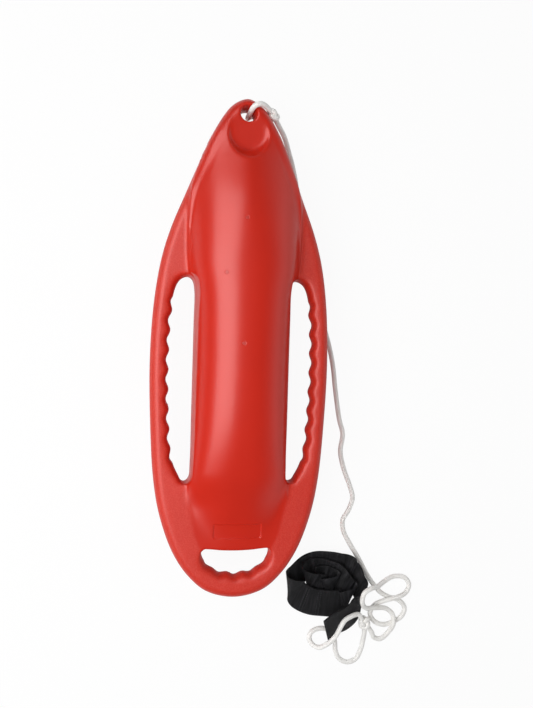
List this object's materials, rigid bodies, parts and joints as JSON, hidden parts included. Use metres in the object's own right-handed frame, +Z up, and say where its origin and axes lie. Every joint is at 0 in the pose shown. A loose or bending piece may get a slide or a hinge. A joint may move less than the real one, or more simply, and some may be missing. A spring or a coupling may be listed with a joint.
{
  "type": "rescue can buoy",
  "caption": "Moulded rescue can with ridged side and tail grips, a nose eye, a towline that swings about it, and a webbing shoulder strap.",
  "frame": {"origin": "on the floor below the middle of the float, on the flat that it lies on", "axes": "+Z up, +Y towards the nose eye, +X to the side where the towline and the strap lie"},
  "size_m": [0.4246, 0.8493, 0.1462],
  "materials": {
    "float_polyethylene": "red rotomoulded polyethylene: smooth satin hull, fine stipple on the deck and grips",
    "fill_foam": "closed-cell expanded foam",
    "plug_plastic": "red moulded plug, dressed flush",
    "line_polypropylene": "white braided line",
    "strap_webbing": "black woven webbing with a fine cross rib"
  },
  "bodies": {
    "float": {"float_shell": "float_polyethylene", "foam_core": "fill_foam", "vent_plug_front": "plug_plastic", "vent_plug_middle": "plug_plastic", "vent_plug_rear": "plug_plastic"},
    "towline": {"nose_loop": "line_polypropylene", "nose_knot": "line_polypropylene", "towline_run": "line_polypropylene", "towline_bundle": "line_polypropylene", "strap_knot": "line_polypropylene", "strap_hitch": "line_polypropylene", "shoulder_strap": "strap_webbing"}
  },
  "joints": [
    {"name": "towline_swing", "type": "hinge", "parent": "float", "child": "towline", "pos_m": [0, 0.331, 0.0724], "axis": [0, 0, 1], "range_deg": [0, 90]}
  ]
}
